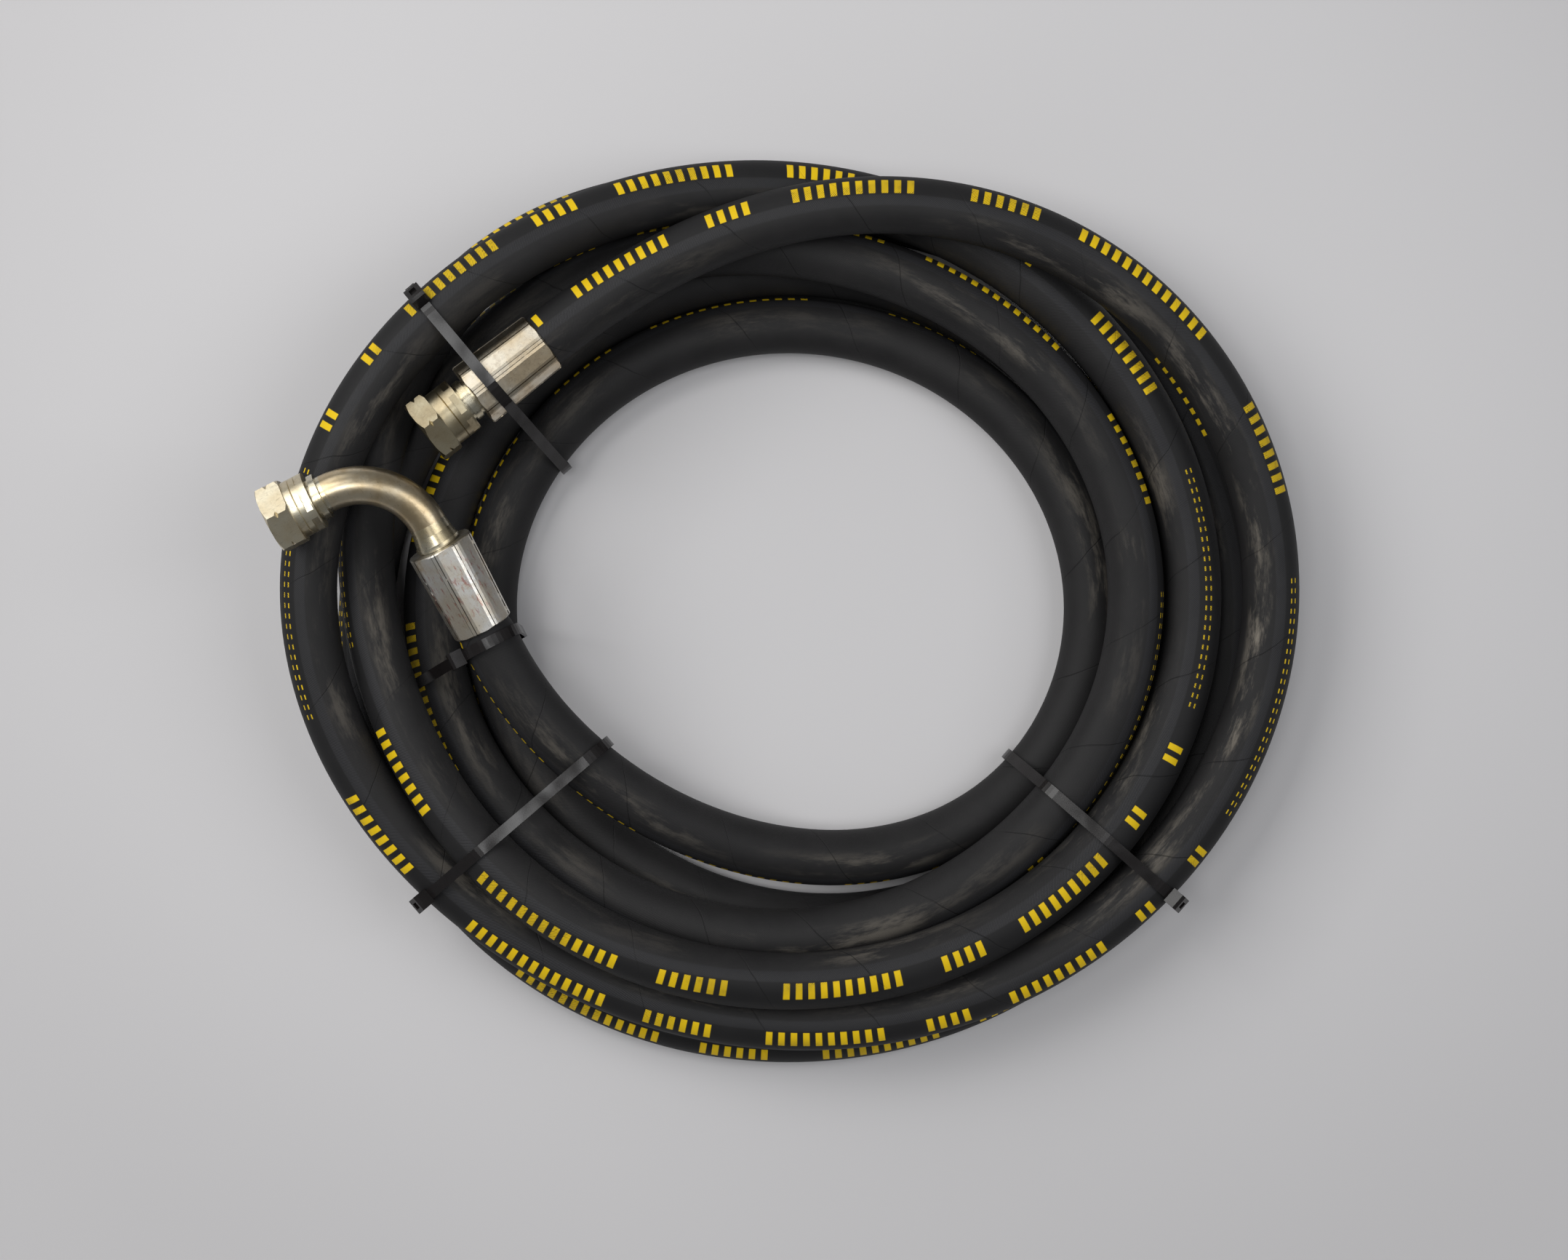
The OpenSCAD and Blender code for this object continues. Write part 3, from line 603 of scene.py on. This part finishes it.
def dress_fittings():
    """The plated pieces, each turned about the axis it was made on."""
    straight = (STRAIGHT_AXIS, STRAIGHT_MOUTH)
    elbow = (ELBOW_AXIS, ELBOW_MOUTH)
    outlet = (OUTLET_AXIS, ELBOW_CORNER)
    dress("straight_ferrule", plated_material(
        "zinc_gold_ferrule", *straight, (0.76, 0.7, 0.58), (0.64, 0.52, 0.35),
        (0.2, 0.13, 0.08), 0.25, 0.45, 0.1, ridge_turn=STRAIGHT_RIDGE), 0.15)
    dress("straight_stem", plated_material(
        "zinc_gold_stem", *straight, PALE, WARM, (0.3, 0.24, 0.14), 0.22, 0.35, 0.15), 0.2)
    dress("straight_nut", plated_material(
        "zinc_gold_nut", *straight, (0.49, 0.44, 0.31), (0.39, 0.32, 0.2),
        (0.22, 0.17, 0.1), 0.27, 0.4, 0.5), 0.25)
    dress("elbow_ferrule", plated_material(
        "zinc_silver", *elbow, (0.82, 0.81, 0.77), (0.72, 0.65, 0.53),
        (0.46, 0.34, 0.19), 0.3, 0.6, 0.16, ridge_turn=ELBOW_RIDGE, smear=RED_PAINT), 0.15)
    dress("elbow_insert", plated_material(
        "zinc_base", *elbow, PALE, WARM, (0.3, 0.2, 0.11), 0.24, 0.3, 0.15), 0.2)
    dress("elbow_tube", plated_material(
        "zinc_bend", *elbow, (0.7, 0.61, 0.45), (0.55, 0.43, 0.26),
        (0.22, 0.15, 0.08), 0.26, 0.32, 0.12))
    dress("elbow_swivel_end", plated_material(
        "zinc_outlet", *outlet, PALE, WARM, (0.32, 0.26, 0.15), 0.21, 0.3, 0.15), 0.2)
    dress("elbow_nut", plated_material(
        "zinc_outlet_nut", *outlet, (0.74, 0.69, 0.54), (0.65, 0.56, 0.39),
        (0.36, 0.28, 0.17), 0.3, 0.3, 0.25), 0.25)


def dress_ties():
    nylon = nylon_material()
    for name in ("tie_upper_left", "tie_lower_left", "tie_lower_right", "tie_elbow"):
        dress(name, nylon, 0.2)


hose.data.materials.append(rubber_material())
dress_fittings()
dress_ties()
dress("hose_core", core_material())


# ---------------------------------------------------------------- floor and light

FLOOR_HALF_SIZE = 3.0
FLOOR_DROP = 0.2
PAPER_DARK, PAPER_PALE = (0.60, 0.59, 0.597), (0.636, 0.626, 0.633)
# painted shade: the paper drawn darker with distance from a centre near the coil, over the given
# reach
SHADED_FALLOFF_PAPER = (0.5, 0.49, 0.496)
SHADE_FALLOFF_CENTRE = (20.0, 90.0)
SHADE_FALLOFF_REACH = (240.0, 480.0)
# colour of the painted shade where a slit between strands shows the floor
SLIT_SHADE_COLOUR = (0.02, 0.02, 0.02)
# painted shade on the ring of floor that a slit between strands shows: inner and outer radius
# about the coil's centre, and the distances towards the far side at which the painted shade starts
# and is full
SLIT_RING = (126.5, 136.5)
SLIT_START, SLIT_FULL = 50.0, 80.0
SLIT_BLUR = 3.0

WHITE, WARM_WHITE, COOL_WHITE = (0.99, 0.995, 1.0), (1.0, 0.995, 0.985), (0.97, 0.98, 1.0)
# name, place and size in metres, watts and colour; each aims at the origin
LIGHTS = (
    ("key_softbox", (-1.1, 0.6, 1.5), (1.2, 1.2), 20.5, WARM_WHITE),
    ("low_softbox", (-1.0, 1.25, 0.8), (1.2, 0.7), 3.6, WARM_WHITE),
    ("side_softbox", (1.25, 0.1, 1.7), (1.0, 1.6), 12.0, COOL_WHITE),
    ("top_softbox", (-0.35, -0.08, 2.3), (0.66, 0.64), 9.0, WHITE),
)
WORLD_COLOUR = (0.9, 0.92, 0.95, 1.0)
WORLD_STRENGTH = 0.19


def floor_material():
    """Pale paper with painted shade: darker towards its far corners and its near edge, and painted
    dark under the coil's far side, where a slit between strands would show it."""
    g = Graph("floor_paper")
    place = g.object_place()
    radius = g.distance(place, (COIL_CENTRE[0] * MM, COIL_CENTRE[1] * MM, 0.0))
    falloff_shade = g.ramp(g.distance(place, (SHADE_FALLOFF_CENTRE[0] * MM, SHADE_FALLOFF_CENTRE[1] * MM, 0.0)),
                   SHADE_FALLOFF_REACH[0] * MM, SHADE_FALLOFF_REACH[1] * MM)
    # painted shade: the floor under the slit drawn dark
    ring = g.span(radius, SLIT_RING[0] * MM, SLIT_RING[1] * MM, SLIT_BLUR * MM)
    slit = g.times(ring, g.ramp(g.split(place)[1], SLIT_START * MM, SLIT_FULL * MM))
    paper = g.mix(g.noise(place, 3.0, 4.0, 0.5, 1.0), PAPER_DARK, PAPER_PALE)
    # painted shade, darker towards the far corners and the near edge
    paper = g.mix(g.times(falloff_shade, 0.6), paper, SHADED_FALLOFF_PAPER)
    g.set(colour=g.mix(slit, paper, SLIT_SHADE_COLOUR), rough=0.85, specular=0.2)
    return g.material


def make_floor():
    mesh = bmesh.new()
    bmesh.ops.create_grid(mesh, x_segments=2, y_segments=2, size=FLOOR_HALF_SIZE)
    data = bpy.data.meshes.new("floor")
    mesh.to_mesh(data)
    mesh.free()
    data.materials.append(floor_material())
    floor = bpy.data.objects.new("floor", data)
    floor.location.z = -FLOOR_DROP * MM
    bpy.context.scene.collection.objects.link(floor)


def area_light(name, place, size, watts, tint):
    data = bpy.data.lights.new(name, "AREA")
    data.shape = "RECTANGLE"
    data.size, data.size_y = size
    data.energy = watts
    data.color = tint
    light = bpy.data.objects.new(name, data)
    light.location = place
    light.rotation_euler = (-Vector(place)).to_track_quat("-Z", "Y").to_euler()
    bpy.context.scene.collection.objects.link(light)


def light_the_world():
    world = bpy.data.worlds.new("studio")
    world.use_nodes = True
    background = world.node_tree.nodes["Background"]
    background.inputs["Color"].default_value = WORLD_COLOUR
    background.inputs["Strength"].default_value = WORLD_STRENGTH
    bpy.context.scene.world = world


make_floor()
for light in LIGHTS:
    area_light(*light)
light_the_world()

scene = bpy.context.scene
scene.render.resolution_x, scene.render.resolution_y = IMAGE_SIZE
scene.view_settings.view_transform = "Standard"
